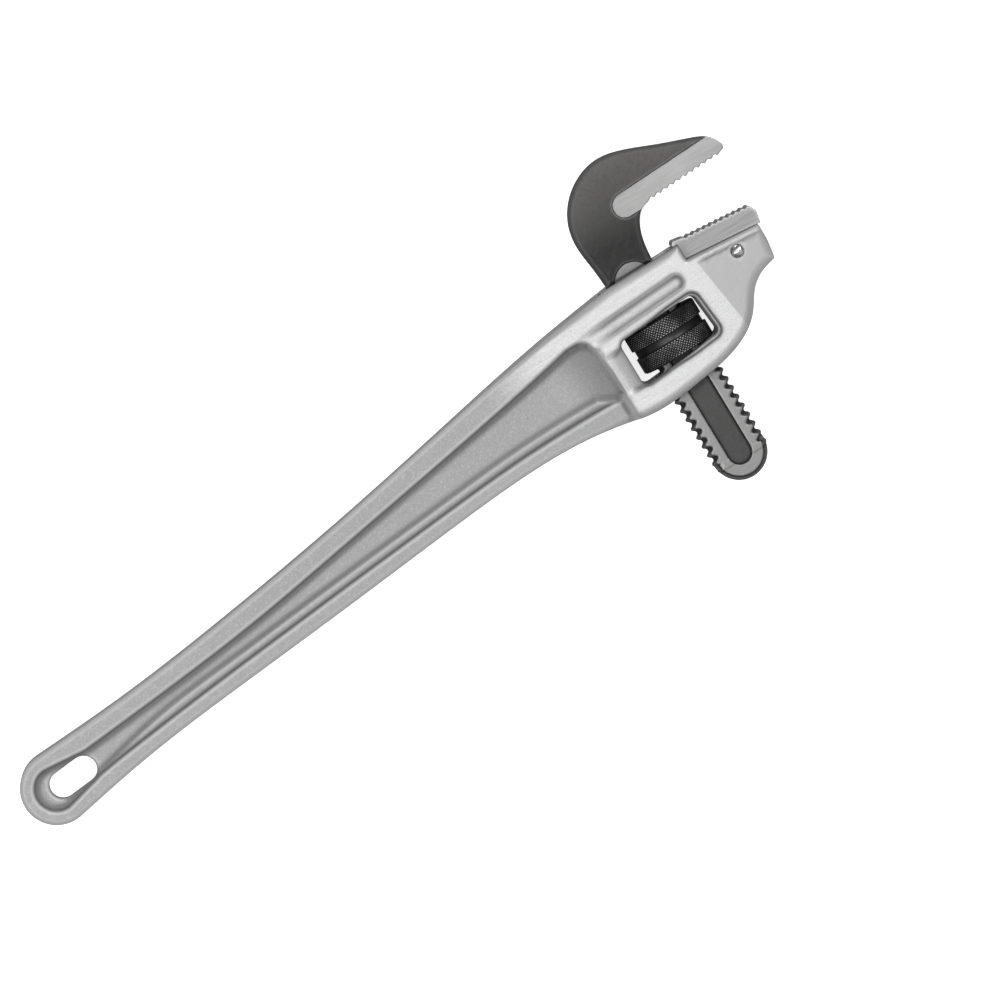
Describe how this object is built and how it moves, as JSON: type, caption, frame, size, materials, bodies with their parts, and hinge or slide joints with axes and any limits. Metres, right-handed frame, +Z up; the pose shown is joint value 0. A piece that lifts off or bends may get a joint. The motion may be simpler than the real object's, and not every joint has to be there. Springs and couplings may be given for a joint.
{
  "type": "pipe wrench",
  "caption": "Aluminium pipe wrench with a sprung toothed hook jaw, driven along its threaded shank by a knurled nut, and a pinned heel jaw.",
  "frame": {"origin": "middle of the footprint of the wrench as it lies on its side, at the surface it lies on", "axes": "+X from the handle's end towards the jaws' open end, +Y along the shank towards the hook, +Z up through the thickness"},
  "size_m": [0.4592, 0.172, 0.04],
  "materials": {
    "cast_aluminium": "satin bead-blasted casting",
    "forged_steel": "dark oxide forging with milled side strips",
    "blackened_steel": "black oxide, diamond knurled",
    "jaw_steel": "ground, hardened",
    "pin_steel": "peened bright steel",
    "spring_steel": "tempered spring steel"
  },
  "bodies": {
    "handle": {"handle": "cast_aluminium", "heel_jaw": "jaw_steel", "heel_jaw_pin": "pin_steel", "coil_spring": "spring_steel"},
    "spring": {"flat_spring": "spring_steel", "spring_rivet": "spring_steel"},
    "hook": {"hook_jaw": "forged_steel"},
    "nut": {"adjusting_nut": "blackened_steel"}
  },
  "joints": [
    {"name": "hook_rock", "type": "hinge", "parent": "handle", "child": "spring", "pos_m": [0.1587, 0.00445, 0.02], "axis": [0, 0, 1], "range_deg": [0, 2.6], "stiffness_Nm_per_rad": 6, "springref_deg": -5.73, "deforming": ["coil_spring"]},
    {"name": "hook_slide", "type": "slide", "parent": "spring", "child": "hook", "axis": [0, 1, 0], "range_m": [-0.021, 0.038]},
    {"name": "nut_spin", "type": "hinge", "parent": "spring", "child": "nut", "pos_m": [0.1587, -0.00595, 0.02], "axis": [0, 1, 0], "range_deg": [-2700, 1500]}
  ],
  "couplings": [
    {"joint": "nut_spin", "follows": "hook_slide", "rad_per_m": -1236.8}
  ]
}
